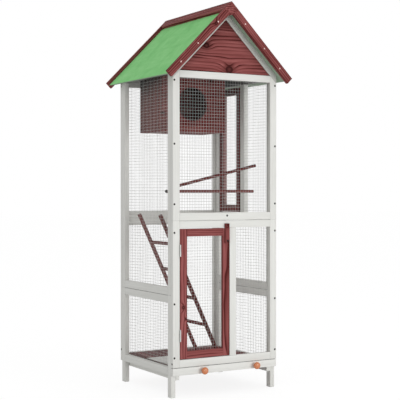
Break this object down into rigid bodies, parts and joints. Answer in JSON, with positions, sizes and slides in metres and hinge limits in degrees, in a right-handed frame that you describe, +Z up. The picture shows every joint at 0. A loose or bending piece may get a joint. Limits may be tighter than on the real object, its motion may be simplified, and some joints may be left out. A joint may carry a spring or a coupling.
{
  "type": "bird cage",
  "caption": "Tall wooden bird cage with wire mesh walls, pitched felt roof, hinged front and side doors, nest box, perches, ladder and a slide-out plank floor.",
  "frame": {"origin": "on the ground under the middle of the cage", "axes": "+X to the right seen from the gable front, +Y from the front to the back, +Z up"},
  "size_m": [0.596, 0.567, 1.5999],
  "materials": {
    "white_paint": "white paint, satin",
    "stained_wood": "red-brown stain, satin",
    "bare_wood": "bare sheathing board",
    "knob_wood": "orange varnish, glossy",
    "roof_felt": "green mineral roofing felt",
    "mesh_wire": "galvanised welded wire",
    "hinge_zinc": "zinc plated",
    "screw_black": "black phosphate",
    "bolt_steel": "dull steel"
  },
  "bodies": {
    "cage": {"back_gable_board": "stained_wood", "back_lower_frame": "white_paint", "back_lower_mesh": "mesh_wire", "back_upper_frame": "white_paint", "back_upper_mesh": "mesh_wire", "barge_boards": "stained_wood", "barge_screws": "screw_black", "drawer_runners": "white_paint", "floor_board": "white_paint", "frame_screws": "screw_black", "front_gable_board": "stained_wood", "front_lower_frame": "white_paint", "front_lower_mesh": "mesh_wire", "front_upper_frame": "white_paint", "front_upper_mesh": "mesh_wire", "hinge_fixed_leaves": "hinge_zinc", "hinge_frame_screws": "screw_black", "hinge_pins": "hinge_zinc", "ladder_rails": "stained_wood", "ladder_rungs": "stained_wood", "left_lower_frame": "white_paint", "left_lower_mesh": "mesh_wire", "left_ridge_board": "stained_wood", "left_roof_board": "bare_wood", "left_roof_felt": "roof_felt", "left_upper_frame": "white_paint", "left_upper_mesh": "mesh_wire", "lower_perch": "stained_wood", "nest_box_back": "stained_wood", "nest_box_floor": "stained_wood", "nest_box_front": "stained_wood", "nest_box_lid": "stained_wood", "nest_box_sides": "stained_wood", "perch_fixings": "bolt_steel", "rafters": "white_paint", "ridge_purlin": "stained_wood", "right_lower_frame": "white_paint", "right_lower_mesh": "mesh_wire", "right_middle_mesh": "mesh_wire", "right_ridge_board": "stained_wood", "right_roof_board": "bare_wood", "right_roof_felt": "roof_felt", "right_upper_frame": "white_paint", "right_upper_mesh": "mesh_wire", "upper_perch": "stained_wood"},
    "front_door": {"front_door_frame": "stained_wood", "front_door_mesh": "mesh_wire", "front_door_hinge_leaves": "hinge_zinc", "front_door_screws": "screw_black"},
    "front_door_button": {"front_turn_button": "stained_wood"},
    "side_door": {"side_door_frame": "stained_wood", "side_door_mesh": "mesh_wire", "side_door_hinge_leaves": "hinge_zinc", "side_door_screws": "screw_black"},
    "side_door_button": {"side_turn_button": "stained_wood"},
    "drawer": {"drawer_front": "white_paint", "drawer_sides": "bare_wood", "drawer_back": "bare_wood", "drawer_floor": "stained_wood", "drawer_knobs": "knob_wood"}
  },
  "joints": [
    {"name": "front_door_hinge", "type": "hinge", "parent": "cage", "child": "front_door", "pos_m": [-0.21575, -0.2416, 0.4165], "axis": [0, 0, -1], "range_deg": [0, 170]},
    {"name": "front_door_button_pivot", "type": "hinge", "parent": "front_door", "child": "front_door_button", "pos_m": [0.0015, -0.2438, 0.6265], "axis": [0, -1, 0], "continuous": true},
    {"name": "side_door_hinge", "type": "hinge", "parent": "cage", "child": "side_door", "pos_m": [0.2516, 0.19275, 1.01275], "axis": [0, 0, 1], "range_deg": [0, 140]},
    {"name": "side_door_button_pivot", "type": "hinge", "parent": "side_door", "child": "side_door_button", "pos_m": [0.2538, 0.03, 0.7885], "axis": [1, 0, 0], "continuous": true},
    {"name": "drawer_slide", "type": "slide", "parent": "cage", "child": "drawer", "axis": [0, -1, 0], "range_m": [0, 0.38]}
  ]
}
